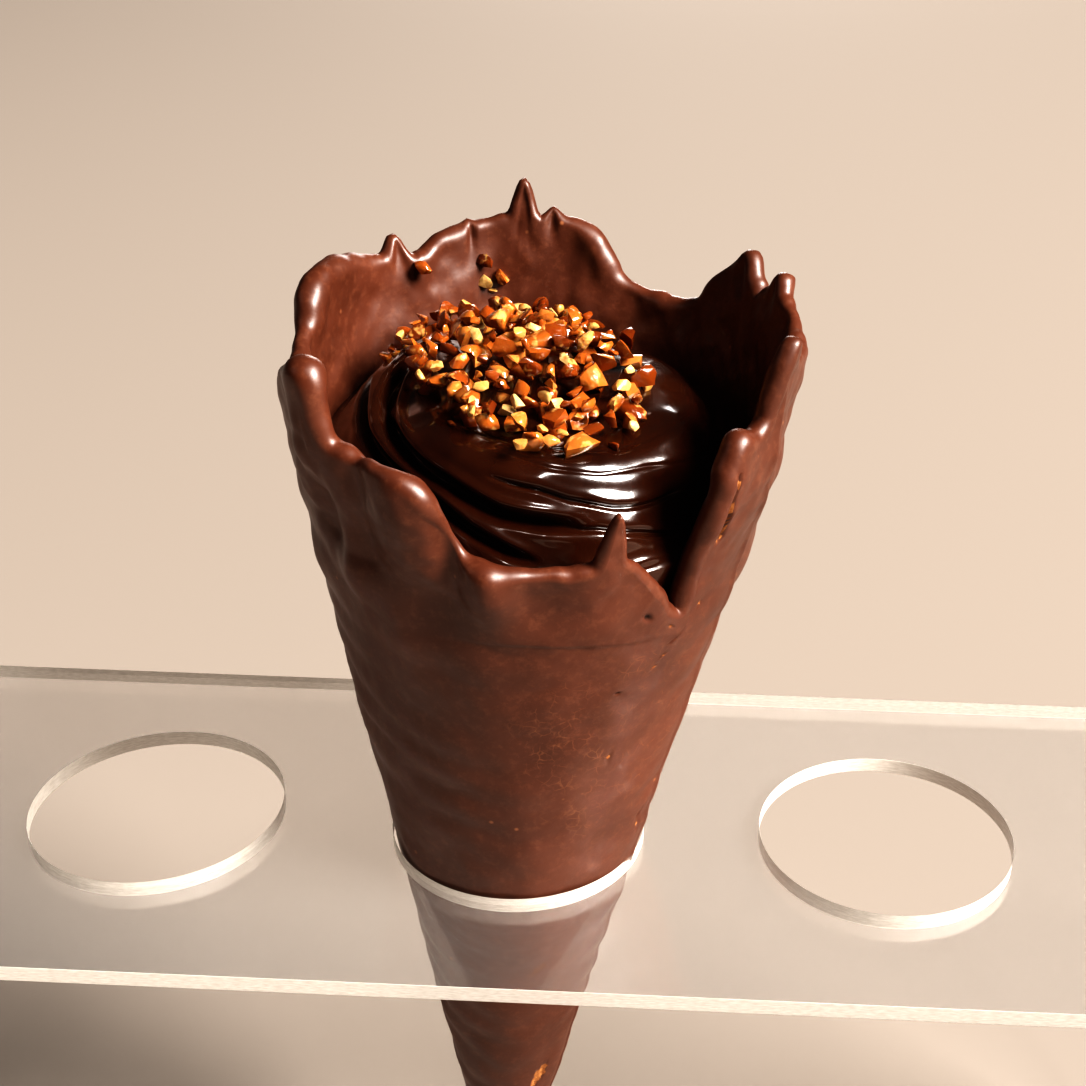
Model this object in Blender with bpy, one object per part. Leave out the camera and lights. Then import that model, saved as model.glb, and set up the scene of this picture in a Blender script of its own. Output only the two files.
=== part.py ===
"""A chocolate-dipped cone filled with brigadeiro, standing in a clear three-hole cone stand.

Metres, +Z up.  The stand's feet are on z = 0 and its middle hole is above the origin, seen from -Y.
The cone and its filling are modelled about the cone's own axis, with the point of the straight cone at
their origin and "s" measured up that axis.  The empty "cone_axis" leans them together in the hole.
Heights called "above the plate" are measured from the plate's top face.
"""
import math
import random

import bmesh
import bpy
import numpy as np
from mathutils import Matrix, Vector

MM = 0.001
GAP = 0.3 * MM                      # air between neighbours that touch
FILLING_GAP = 0.5 * MM              # the same, where the crown's wall is uneven

# The stand: one sheet bent down at both ends.
PLATE_LENGTH = 188 * MM
PLATE_DEPTH = 60 * MM
PLATE_TOP = 86 * MM
SHEET = 2 * MM
BEND_RADIUS = 5 * MM                # outside of the bend
BEND_STEPS = 6
HOLE_RADIUS = 15.4 * MM
HOLE_PITCH = 45 * MM
HOLE_SIDES = 56

# The cone: a rolled wafer dipped in chocolate.
FLARE = math.tan(math.radians(11.9))
LEAN = math.radians(2.75)           # towards +X at the top
POINT_DEPTH = 71.4 * MM             # from the plate's top face down to the straight cone's point
TIP_RADIUS = 2.2 * MM
WALL = 2.7 * MM
COLLAR = 98 * MM                    # s where the crown's columns start to spread
HOLLOW_FLOOR = 19 * MM              # s of the bottom of the hollow
COLUMNS = 150
LOW_COLUMNS = COLUMNS // 3

# The crown's edge as (angle, height above the plate): lobes, fingers and notches, anticlockwise from +X.
CROWN = (
    (4, 65.4), (11, 66.2), (16, 67.0), (22, 67.0), (27.5, 65.4), (31, 66.8), (37, 67.6), (43, 65.6),
    (47, 62.8), (51, 61.2), (60, 60.5), (73, 62.0), (82, 67.0), (92, 68.3), (107, 67.6), (119, 66.5),
    (128, 64.6), (142, 64.8), (156, 65.4), (166, 64.6), (173, 61.2), (185, 60.0), (197, 60.4),
    (207, 62.2), (215, 63.8), (220.5, 64.9), (222.6, 63.6), (224.0, 60.2), (226.6, 57.9), (232, 57.3),
    (238, 57.3), (244, 57.6), (248, 57.1), (251.6, 55.7), (255, 53.2), (259, 50.2), (263, 49.0),
    (267, 48.3), (273, 48.1), (281, 48.1), (290, 48.6), (301, 48.1), (306, 45.8), (310.5, 43.3),
    (314.4, 41.6), (316.0, 43.2), (316.4, 47.0), (316.7, 51.5), (317.0, 55.4), (317.7, 57.2),
    (319.2, 57.9), (320.4, 59.5), (322.4, 60.7), (326.5, 60.1), (330.5, 60.2), (333.6, 61.4),
    (335.4, 64.0), (337.0, 66.6), (339.0, 67.8), (342.2, 67.0), (346.5, 65.2), (354, 64.8))
# Thin horns of set chocolate on that edge: (angle, rise, half width as an angle).
HORNS = ((18.8, 2.0, 2.0), (34.5, 1.6, 2.2), (92, 1.1, 1.8), (99.5, 4.6, 1.8), (134, 2.4, 1.8), (292.5, 6.0, 1.9),
         (338.6, 0.9, 1.8))
# Bulges of the wall under the edge: (angle, height above the plate, spread as an angle, spread, push).
BULGES = (
    (247, 53, 8, 5.0, 1.3), (265, 46, 7, 4.0, 0.9), (220, 57, 6, 5.0, 1.1), (188, 61, 16, 4.5, -1.4),
    (195, 50, 26, 8.0, -0.3), (160, 64.5, 20, 5.0, -0.5), (128, 58, 7, 8.0, -0.9), (145, 58, 8, 8.0, 0.9),
    (108, 60, 7, 8.0, 0.8), (320, 55, 6, 4.5, 0.6), (348, 46, 48, 18.0, 0.6), (0, 60.5, 18, 3.0, 0.25),
    (4, 66, 18, 4.5, -0.2))
CURL = 1.3 * MM                     # how far the crown's top leans in
CURL_RANGE = (50, 68)               # from this height above the plate to this one
LIP_SWELL = 0.45 * MM               # how far the edge's bead stands proud of the wall
LIP_DEPTH = 4.5 * MM

# The filling's piped ridges, from the top's edge down to the wall: radius and height above the plate
# at the right, back, left and front.
RIDGES = (
    ((12.8, 11.0, 10.6, 11.6), (56.8, 58.6, 57.4, 56.6)),
    ((17.2, 16.2, 14.8, 16.0), (55.8, 57.8, 56.4, 56.0)),
    ((19.0, 18.0, 15.6, 17.5), (53.6, 57.0, 56.6, 54.8)),
    ((20.2, 19.6, 16.6, 19.0), (51.0, 56.4, 56.6, 51.7)),
    ((20.9, 21.0, 18.2, 20.0), (49.0, 55.6, 55.6, 49.8)),
    ((21.4, 22.0, 20.6, 21.0), (47.2, 54.4, 53.2, 47.4)))
WALL_LINE = (46.0, 53.2, 50.4, 45.4)
RIDGE_SAG = 0.26                    # depth of a groove over the distance between its ridges
PEAK = 58.4                         # height of the swirl's middle above the plate
FILLING_COLUMNS = 78
FILLING_FLOOR = 22 * MM             # s of the filling's lower end

# Chopped caramel nuts on top, in an oval patch, and a few on the back of the crown.
NUTS = 58
PATCH_CENTRE = (-2.0 * MM, 2.5 * MM)
PATCH_RADII = (20.5 * MM, 13.8 * MM)
PATCH_ANGLE = math.radians(123.5)
NUT_SIZE = (3.8 * MM, 2.2 * MM)     # the first, and the last
NUT_REACH = 22.0 * MM               # nuts stay this close to the axis
WALL_NUTS = ((130, 63.4, 2.7), (108.5, 62.8, 2.3), (104, 61.2, 2.3), (109, 60.4, 2.4))


def clear_scene():
    for item in list(bpy.data.objects):
        bpy.data.objects.remove(item, do_unlink=True)


def material(name, colour, roughness, metallic=0.0, transmission=0.0):
    made = bpy.data.materials.new(name)
    made.use_nodes = True
    shader = made.node_tree.nodes["Principled BSDF"]
    shader.inputs["Base Color"].default_value = (*colour, 1.0)
    shader.inputs["Roughness"].default_value = roughness
    shader.inputs["Metallic"].default_value = metallic
    shader.inputs["Transmission Weight"].default_value = transmission
    return made


def mesh_object(name, verts, faces, finish, smooth_angle=None):
    mesh = bpy.data.meshes.new(name)
    mesh.from_pydata([tuple(v) for v in verts], [], faces)
    shape = bmesh.new()
    shape.from_mesh(mesh)
    bmesh.ops.recalc_face_normals(shape, faces=shape.faces)
    shape.to_mesh(mesh)
    shape.free()
    if smooth_angle is not None:
        mesh.shade_smooth()
        mesh.set_sharp_from_angle(angle=math.radians(smooth_angle))
    made = bpy.data.objects.new(name, mesh)
    made.data.materials.append(finish)
    bpy.context.collection.objects.link(made)
    return made


# ---------------------------------------------------------------- the stand

def sheet_profile():
    """The bent sheet seen from the front: up the left leg, over the top and down the right leg."""
    half = PLATE_LENGTH / 2
    outer = [(-half, 0.0)]
    inner = [(-half + SHEET, 0.0)]
    for side in (-1, 1):
        centre_x = side * (half - BEND_RADIUS)
        centre_z = PLATE_TOP - BEND_RADIUS
        for step in range(BEND_STEPS + 1):
            turn = step / BEND_STEPS * math.pi / 2
            angle = math.pi - turn if side < 0 else math.pi / 2 - turn
            for line, radius in ((outer, BEND_RADIUS), (inner, BEND_RADIUS - SHEET)):
                line.append((centre_x + radius * math.cos(angle), centre_z + radius * math.sin(angle)))
    outer.append((half, 0.0))
    inner.append((half - SHEET, 0.0))
    return outer, inner


def acrylic_stand():
    outer, inner = sheet_profile()
    verts = []
    for y in (-PLATE_DEPTH / 2, PLATE_DEPTH / 2):
        verts += [(x, y, z) for x, z in outer] + [(x, y, z) for x, z in inner]
    count = len(outer)
    faces = [(0, count, 3 * count, 2 * count), (count - 1, 2 * count - 1, 4 * count - 1, 3 * count - 1)]
    for i in range(count - 1):
        faces.append((i, i + 1, count + i + 1, count + i))
        faces.append((2 * count + i, 2 * count + i + 1, 3 * count + i + 1, 3 * count + i))
        faces.append((i, i + 1, 2 * count + i + 1, 2 * count + i))
        faces.append((count + i, count + i + 1, 3 * count + i + 1, 3 * count + i))
    clear = material("clear_acrylic", (0.86, 0.87, 0.86), 0.12, transmission=0.9)
    stand = mesh_object("acrylic_stand", verts, faces, clear, smooth_angle=30)
    for number, x in enumerate((-HOLE_PITCH, 0.0, HOLE_PITCH)):
        bpy.ops.mesh.primitive_cylinder_add(
            vertices=HOLE_SIDES, radius=HOLE_RADIUS, depth=5 * SHEET, location=(x, 0, PLATE_TOP - SHEET / 2))
        cutter = bpy.context.object
        cutter.name = f"hole_cutter_{number}"
        cutter.hide_render = True
        cutter.display_type = "WIRE"
        hole = stand.modifiers.new(f"hole_{number}", "BOOLEAN")
        hole.operation = "DIFFERENCE"
        hole.object = cutter
    return stand


# ---------------------------------------------------------------- the cone

def along(height):
    """s, in metres, of a height above the plate given in millimetres."""
    return POINT_DEPTH + height * MM


def turn_between(a, b):
    """The signed angle in degrees from b to a, the short way."""
    return (a - b + 180) % 360 - 180


def through(stations, steps):
    """A smooth closed line through the stations, with the given number of steps in each span."""
    count = len(stations)
    line = []
    for i in range(count):
        four = []
        for k in range(i - 1, i + 3):
            angle, height = stations[k % count]
            four.append(Vector((angle + 360 * (k // count), height)))
        before, start, end, after = four
        for step in range(steps):
            t = step / steps
            line.append(0.5 * ((2 * start) + (end - before) * t
                               + (2 * before - 5 * start + 4 * end - after) * t ** 2
                               + (3 * start - 3 * end + after - before) * t ** 3))
    return line


def horn(angle):
    """The nearest horn's rise in millimetres, and how far up it the angle is, from 0 to 1."""
    best = (0.0, 0.0)
    for at, rise, half in HORNS:
        part = math.exp(-abs(turn_between(angle, at) / half) ** 1.6)
        if part > best[1]:
            best = (rise * part, part)
    return best


def crown_edge(columns):
    """The crown's edge, evenly divided along its length: (angle, s, wall thickness there)."""
    dense = []
    for angle, height in through(CROWN, 16):
        dense.append((angle, along(height + horn(angle)[0])))
    dense.append((dense[0][0] + 360, dense[0][1]))
    length = [0.0]
    for (a0, s0), (a1, s1) in zip(dense, dense[1:]):
        length.append(length[-1] + math.hypot(math.radians(a1 - a0) * s1 * FLARE, s1 - s0))
    places = np.linspace(0, length[-1], columns + 1)[:-1]
    angles = np.interp(places, length, [p[0] for p in dense])
    levels = np.interp(places, length, [p[1] for p in dense])
    for at, rise, _ in HORNS:
        nearest = min(range(columns), key=lambda i: abs(turn_between(angles[i], at)))
        angles[nearest] = at
        levels[nearest] = max(s for a, s in dense if abs(turn_between(a, at)) < 2)
    return [(angle, s, WALL * (1 - 0.5 * horn(angle)[1])) for angle, s in zip(angles, levels)]


def bulge(angle, s):
    """How far the wall is pushed out at an angle and an s."""
    up = (s - along(CURL_RANGE[0])) / (MM * (CURL_RANGE[1] - CURL_RANGE[0]))
    push = -CURL * min(max(up, 0.0), 1.2) ** 2
    for at, height, wide, tall, amount in BULGES:
        across = turn_between(angle, at) / wide
        up = (s - along(height)) / (tall * MM)
        push += amount * MM * math.exp(-across ** 2 - up ** 2)
    return push


def on_cone(angle, s, out):
    """A point at an angle and an s, a distance out from the straight cone's surface."""
    radius = FLARE * s + out
    return Vector((radius * math.cos(math.radians(angle)), radius * math.sin(math.radians(angle)), s))


def ring(count, s, out):
    return [on_cone(360 * i / count, s, out) for i in range(count)]


def skin_rings(edge, rows, side):
    """Rings of the outer (side 0) or inner (side 1) face, from the collar up to the edge's bead."""
    rings = []
    for row in range(rows + 1):
        part = row / rows
        line = []
        for i, (angle, s_edge, thick) in enumerate(edge):
            s_top = s_edge - thick / 2
            start = 360 * i / len(edge) + CROWN[0][0]
            angle_here = start + turn_between(angle, start) * part ** 0.8
            s_here = COLLAR + (s_top - COLLAR) * part
            swell = LIP_SWELL * math.exp(-((s_top - s_here) / LIP_DEPTH) ** 2) * (thick / WALL)
            out = bulge(angle_here, s_here) + swell
            line.append(on_cone(angle_here, s_here, out - side * (thick if row == rows else WALL)))
        rings.append(line)
    return rings


def bead_rings(edge, outer, inner, steps):
    """The rounded edge between the last outer and inner rings, square to the edge's own run."""
    count = len(edge)
    rings = []
    for step in range(1, steps):
        turn = math.pi * step / steps
        line = []
        for i, (angle, s_edge, thick) in enumerate(edge):
            before, after = outer[i - 1], outer[(i + 1) % count]
            across = outer[i] - inner[i]
            rise = across.cross(after - before)
            rise.normalize()
            if rise.z < 0:
                rise.negate()
            middle = (outer[i] + inner[i]) / 2
            line.append(middle + across / 2 * math.cos(turn) + rise * across.length / 2 * math.sin(turn))
        rings.append(line)
    return rings


def join_rings(rings, capped=True):
    """Points and faces of a closed skin through rings of equal count, or of counts in the ratio 1 to 3."""
    verts, faces, starts = [], [], []
    for line in rings:
        starts.append(len(verts))
        verts += line
    for (low, high), (first, second) in zip(zip(rings, rings[1:]), zip(starts, starts[1:])):
        n, m = len(low), len(high)
        if n == m:
            for i in range(n):
                j = (i + 1) % n
                faces.append((first + i, first + j, second + j, second + i))
        elif m == 3 * n:
            fan(faces, first, n, second, m)
        else:
            fan(faces, second, m, first, n)
    if capped:
        for line, start in ((rings[0], starts[0]), (rings[-1], starts[-1])):
            middle = len(verts)
            verts.append(sum(line, Vector()) / len(line))
            for i in range(len(line)):
                faces.append((middle, start + i, start + (i + 1) % len(line)))
    return verts, faces


def fan(faces, few_start, few, many_start, many):
    """Faces between a ring and one with three times its points."""
    for i in range(few):
        here, there = few_start + i, few_start + (i + 1) % few
        a, b, c, d = (many_start + (3 * i + k) % many for k in range(4))
        faces += [(here, a, b), (here, b, there), (there, b, c), (there, c, d)]


def tip_rings(count):
    """The rounded closed end of the cone."""
    slope = math.atan(FLARE)
    centre = TIP_RADIUS / math.sin(slope)
    rings = []
    for step in (1, 2, 3):
        turn = (math.pi / 2 - slope) * step / 3
        radius, s = TIP_RADIUS * math.sin(turn), centre - TIP_RADIUS * math.cos(turn)
        rings.append([Vector((radius * math.cos(a), radius * math.sin(a), s))
                      for a in (2 * math.pi * i / count for i in range(count))])
    return rings


def shell_mesh():
    edge = crown_edge(COLUMNS)
    outer = skin_rings(edge, 7, side=0)
    inner = skin_rings(edge, 6, side=1)
    low = [ring(LOW_COLUMNS, s * MM, 0.0) for s in (22, 40, 60, 80)]
    hollow = [ring(LOW_COLUMNS, s * MM, -WALL) for s in (80, 60, 40, 24)]
    floor = [ring(LOW_COLUMNS, HOLLOW_FLOOR, -WALL - 0.4 * MM)]
    rings = (tip_rings(LOW_COLUMNS) + low + outer + bead_rings(edge, outer[-1], inner[-1], 4)
             + inner[::-1] + hollow + floor)
    return join_rings(rings)


# ---------------------------------------------------------------- the filling

def round_the_cone(values, angle):
    """A value that runs smoothly through its four at the right, back, left and front."""
    right, back, left, front = values
    turn = math.radians(angle)
    return ((right + back + left + front) / 4 + (right - left) / 2 * math.cos(turn)
            + (back - front) / 2 * math.sin(turn) + (right + left - back - front) / 4 * math.cos(2 * turn))


def swirl_profile(angle, steps):
    """(radius, s) from the swirl's middle out over its ridges and grooves to the cone's wall."""
    crests = [(0.0, along(PEAK))]
    for radii, heights in RIDGES:
        crests.append((round_the_cone(radii, angle) * MM, along(round_the_cone(heights, angle))))
    s_wall = along(round_the_cone(WALL_LINE, angle))
    crests.append((FLARE * s_wall + bulge(angle, s_wall) - WALL - FILLING_GAP, s_wall))
    line = []
    for (r0, s0), (r1, s1) in zip(crests, crests[1:]):
        span = math.hypot(r1 - r0, s1 - s0)
        for step in range(steps):
            t = step / steps
            sag = RIDGE_SAG * span * math.sin(math.pi * t) * (0.35 if r0 == 0 else 1.0)
            line.append((r0 + (r1 - r0) * t + sag * (s1 - s0) / span, s0 + (s1 - s0) * t - sag * (r1 - r0) / span))
    line.append(crests[-1])
    return line


def level(radius, angle, s):
    """A point of the swirl: it was piped level, so it tips back against the cone's lean."""
    x, y = radius * math.cos(math.radians(angle)), radius * math.sin(math.radians(angle))
    return Vector((x, y, s + x * math.tan(LEAN)))


def filling_mesh():
    profiles = []
    for i in range(FILLING_COLUMNS):
        angle = 360 * i / FILLING_COLUMNS
        profiles.append((angle, swirl_profile(angle, 3)))
    rows = len(profiles[0][1])
    top = []
    for row in range(1, rows):
        top.append([level(line[row][0], angle, line[row][1]) for angle, line in profiles])
    top[-1] = [wall_point(point) for point in top[-1]]
    body = []
    for s in (110 * MM, 100 * MM):
        body.append([on_cone(angle, s, bulge(angle, s) - WALL - FILLING_GAP) for angle, _ in profiles])
    low = [ring(FILLING_COLUMNS // 3, s, -WALL - GAP) for s in (70 * MM, FILLING_FLOOR)]
    return join_rings(top + body + low)


def wall_point(point):
    """The same height and angle, a gap inside the wall."""
    angle = math.degrees(math.atan2(point.y, point.x))
    return on_cone(angle, point.z, bulge(angle, point.z) - WALL - FILLING_GAP)


def nut_chip(name, place, size, draw):
    """A chopped nut: a rough block with cut corners, broken differently each time."""
    shape = bmesh.new()
    bmesh.ops.create_icosphere(shape, subdivisions=1, radius=0.5)
    stretch = Vector((size, size * draw.uniform(0.6, 0.85), size * draw.uniform(0.6, 0.85)))
    spin = Matrix.Rotation(draw.uniform(0, 2 * math.pi), 3, "Z") @ Matrix.Rotation(draw.uniform(-0.5, 0.5), 3, "X")
    for vert in shape.verts:
        vert.co *= draw.uniform(0.82, 1.18)
        vert.co = spin @ Vector((vert.co.x * stretch.x, vert.co.y * stretch.y, vert.co.z * stretch.z))
        vert.co += place
    mesh = bpy.data.meshes.new(name)
    shape.to_mesh(mesh)
    shape.free()
    chip = bpy.data.objects.new(name, mesh)
    return chip


def scattered_nuts(swirl):
    """Chips over the patch, largest first, each partly sunk in the swirl and clear of the last ones."""
    draw = random.Random(11)
    chips, placed = [], []
    tries = 0
    while len(chips) < NUTS and tries < 4000:
        tries += 1
        far, turn = math.sqrt(draw.random()), draw.uniform(0, 2 * math.pi)
        u, v = PATCH_RADII[0] * far * math.cos(turn), PATCH_RADII[1] * far * math.sin(turn)
        x = PATCH_CENTRE[0] + u * math.cos(PATCH_ANGLE) - v * math.sin(PATCH_ANGLE)
        y = PATCH_CENTRE[1] + u * math.sin(PATCH_ANGLE) + v * math.cos(PATCH_ANGLE)
        size = NUT_SIZE[0] + (NUT_SIZE[1] - NUT_SIZE[0]) * len(chips) / NUTS
        if math.hypot(x, y) > NUT_REACH - size / 2:
            continue
        if any(math.hypot(x - a, y - b) < 0.4 * (size + c) for a, b, c in placed):
            continue
        placed.append((x, y, size))
        found, top, _, _ = swirl.ray_cast(Vector((x, y, along(PEAK) + 20 * MM)), Vector((0, 0, -1)))
        place = top + Vector((0, 0, 0.16 * size))
        chips.append(nut_chip(f"nut_{len(chips)}", place, size, draw))
    return chips


def wall_nuts():
    """Chips stuck to the crown's inner face."""
    draw = random.Random(5)
    chips = []
    for angle, height, size in WALL_NUTS:
        s = along(height)
        place = on_cone(angle, s, bulge(angle, s) - WALL - 0.12 * size * MM)
        chips.append(nut_chip(f"wall_nut_{len(chips)}", place, size * MM, draw))
    return chips


def fuse(base, chips):
    """Join chips to what they lie on, as one solid."""
    group = bpy.data.collections.new(f"{base.name}_chips")
    bpy.context.scene.collection.children.link(group)
    for chip in chips:
        group.objects.link(chip)
    union = base.modifiers.new("chips", "BOOLEAN")
    union.operation = "UNION"
    union.operand_type = "COLLECTION"
    union.collection = group
    union.solver = "MANIFOLD"
    bpy.context.view_layer.update()
    fused = bpy.data.meshes.new_from_object(base.evaluated_get(bpy.context.evaluated_depsgraph_get()))
    base.modifiers.remove(union)
    base.data = fused
    for chip in chips:
        bpy.data.objects.remove(chip, do_unlink=True)
    bpy.data.collections.remove(group)


def build():
    clear_scene()
    acrylic_stand()
    axis = bpy.data.objects.new("cone_axis", None)
    bpy.context.collection.objects.link(axis)
    # The leaning cone's section in the plate is a little off its axis, so the point is set for the section.
    axis.location = (-POINT_DEPTH * math.tan(LEAN) * (1 + FLARE ** 2), 0, PLATE_TOP - POINT_DEPTH)
    axis.rotation_euler = (0, LEAN, 0)
    chocolate = material("dipping_chocolate", (0.075, 0.022, 0.012), 0.32)
    brigadeiro = material("brigadeiro", (0.030, 0.009, 0.005), 0.12)
    shell = mesh_object("cone_shell", *shell_mesh(), chocolate, smooth_angle=40)
    filling = mesh_object("brigadeiro_filling", *filling_mesh(), brigadeiro, smooth_angle=40)
    bpy.context.view_layer.update()
    for piece, chips in ((shell, wall_nuts()), (filling, scattered_nuts(filling))):
        fuse(piece, chips)
        piece.parent = axis


build()
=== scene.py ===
import math
import random

import bmesh
import bpy
import numpy as np
from mathutils import Matrix, Vector
from mathutils.bvhtree import BVHTree


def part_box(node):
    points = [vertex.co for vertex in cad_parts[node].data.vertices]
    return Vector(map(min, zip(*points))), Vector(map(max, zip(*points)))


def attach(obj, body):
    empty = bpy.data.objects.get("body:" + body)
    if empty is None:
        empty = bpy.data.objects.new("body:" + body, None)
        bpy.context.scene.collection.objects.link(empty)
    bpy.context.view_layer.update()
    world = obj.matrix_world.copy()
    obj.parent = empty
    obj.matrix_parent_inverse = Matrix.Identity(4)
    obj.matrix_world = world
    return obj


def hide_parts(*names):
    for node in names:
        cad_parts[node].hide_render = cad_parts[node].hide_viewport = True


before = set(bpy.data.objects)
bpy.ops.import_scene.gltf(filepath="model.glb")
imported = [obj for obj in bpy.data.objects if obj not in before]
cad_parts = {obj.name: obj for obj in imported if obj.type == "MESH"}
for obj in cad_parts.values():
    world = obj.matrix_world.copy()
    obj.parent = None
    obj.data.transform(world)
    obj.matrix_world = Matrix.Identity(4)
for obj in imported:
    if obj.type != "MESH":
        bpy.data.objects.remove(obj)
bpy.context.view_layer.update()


# ---- The cone stand ---------------------------------------------------------
# A strip of clear cast acrylic, cut with three round holes and bent down hot at both ends to make its legs.
# Its faces are clear but hazy from wiping; the sawn edges scatter light and look white, and a faint painted
# glow stands in for that light.

mm = 0.001
stand_low, stand_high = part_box("acrylic_stand")
sheet = 2 * mm
bend = 5 * mm  # the outer radius where a leg turns down
bend_steps = 16
hole_radius = 15.4 * mm
hole_places = (-45 * mm, 0.0, 45 * mm)
hole_sides = 128
edge_softening = 0.12 * mm
cast_tint = (0.96, 0.94, 0.91, 1)
sheet_alpha = 0.24
sawn_dark, sawn_light = (0.60, 0.55, 0.49), (0.74, 0.69, 0.63)
painted_edge_glow = (1.0, 0.94, 0.87, 1)  # a painted glow, for the light that the sheet carries to its edges
acrylic_ior = 1.49


def new_finish(name):
    """An empty material with its shader, and its node tree to add to."""
    made = bpy.data.materials.new(name)
    made.use_nodes = True
    return made, made.node_tree, made.node_tree.nodes["Principled BSDF"]


def set_inputs(node, values):
    """Inputs by name or number: a socket is linked, and a value is the same all over."""
    for name, value in values.items():
        if isinstance(value, bpy.types.NodeSocket):
            node.id_data.links.new(value, node.inputs[name])
        else:
            node.inputs[name].default_value = value


def add_node(tree, kind, links=None, **settings):
    """A node with its properties and input values set, and its inputs linked."""
    node = tree.nodes.new(kind)
    for name, value in settings.items():
        if hasattr(node, name):
            setattr(node, name, value)
        else:
            node.inputs[name.replace("_", " ").title()].default_value = value
    set_inputs(node, links or {})
    return node


def places(tree, stretch=(1, 1, 1)):
    """Where on the object a point is, in metres, stretched along each axis."""
    where = tree.nodes.new("ShaderNodeTexCoord").outputs["Object"]
    return add_node(tree, "ShaderNodeMapping", {"Vector": where}, scale=stretch).outputs["Vector"]


def blotches(tree, where, per_metre, detail=4.0, rough=0.55):
    """Uneven noise from 0 to 1 with the given number of blotches in a metre."""
    node = add_node(tree, "ShaderNodeTexNoise", {"Vector": where},
                    scale=per_metre, detail=detail, roughness=rough)
    return node.outputs["Fac"]


def ramp(tree, value, stops):
    """Colours, or greys given as one number, at places from 0 to 1."""
    node = tree.nodes.new("ShaderNodeValToRGB")
    while len(node.color_ramp.elements) < len(stops):
        node.color_ramp.elements.new(0.5)
    for stop, (place, colour) in zip(node.color_ramp.elements, stops):
        stop.position = place
        stop.color = (*colour, 1) if isinstance(colour, tuple) else (colour, colour, colour, 1)
    tree.links.new(value, node.inputs["Fac"])
    return node.outputs["Color"]


def blend_colours(tree, share, first, second, how="MIX"):
    """The second colour over the first by a share; each is a socket or a plain colour."""
    node = add_node(tree, "ShaderNodeMix", data_type="RGBA", blend_type=how)
    first, second = ((*source, 1) if isinstance(source, tuple) else source for source in (first, second))
    set_inputs(node, {0: share, 6: first, 7: second})
    return node.outputs[2]


def raise_surface(tree, height, strength, depth, under=None):
    """A fine relief from a height from 0 to 1, with depth in metres, on top of another relief."""
    links = {"Height": height} if under is None else {"Height": height, "Normal": under}
    return add_node(tree, "ShaderNodeBump", links, strength=strength, distance=depth).outputs["Normal"]


def clear_acrylic():
    """Clear cast faces, hazy from wiping and smears."""
    made, tree, shader = new_finish("clear_acrylic")
    wiped = blotches(tree, places(tree, (260, 1500, 900)), 1.0, 3.0)
    smears = blotches(tree, places(tree), 40, 3.0)
    haze = ramp(tree, blend_colours(tree, 0.5, wiped, smears), ((0.3, 0.06), (0.7, 0.13)))
    set_inputs(shader, {"Base Color": cast_tint, "Roughness": haze, "Transmission Weight": 0.88,
                        "Alpha": sheet_alpha, "IOR": acrylic_ior})
    return made


def sawn_edge():
    """Edges left matt by the saw, lined along the cut, with a faint painted glow."""
    made, tree, shader = new_finish("sawn_acrylic_edge")
    lines = blotches(tree, places(tree, (900, 900, 6000)), 1.0, 2.0)
    set_inputs(shader, {"Base Color": ramp(tree, lines, ((0.35, sawn_dark), (0.65, sawn_light))),
                        "Normal": raise_surface(tree, lines, 0.3, 0.05 * mm),
                        "Roughness": 0.42, "Transmission Weight": 0.15, "IOR": acrylic_ior,
                        "Emission Color": painted_edge_glow, "Emission Strength": 0.03})
    return made


def bent_strip():
    """The strip's outer and inner lines seen from the front, from foot to foot."""
    outer, inner = [(stand_low.x, 0.0)], [(stand_low.x + sheet, 0.0)]
    for side in (-1, 1):
        middle = (side * (stand_high.x - bend), stand_high.z - bend)
        for step in range(bend_steps + 1):
            turn = math.pi / 2 * step / bend_steps
            angle = math.pi - turn if side < 0 else math.pi / 2 - turn
            for line, radius in ((outer, bend), (inner, bend - sheet)):
                line.append((middle[0] + radius * math.cos(angle), middle[1] + radius * math.sin(angle)))
    outer.append((stand_high.x, 0.0))
    inner.append((stand_high.x - sheet, 0.0))
    return outer, inner


def put_in_scene(name, data):
    """A new object with its mesh, lamp or lens, in the scene."""
    made = bpy.data.objects.new(name, data)
    bpy.context.collection.objects.link(made)
    return made


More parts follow.
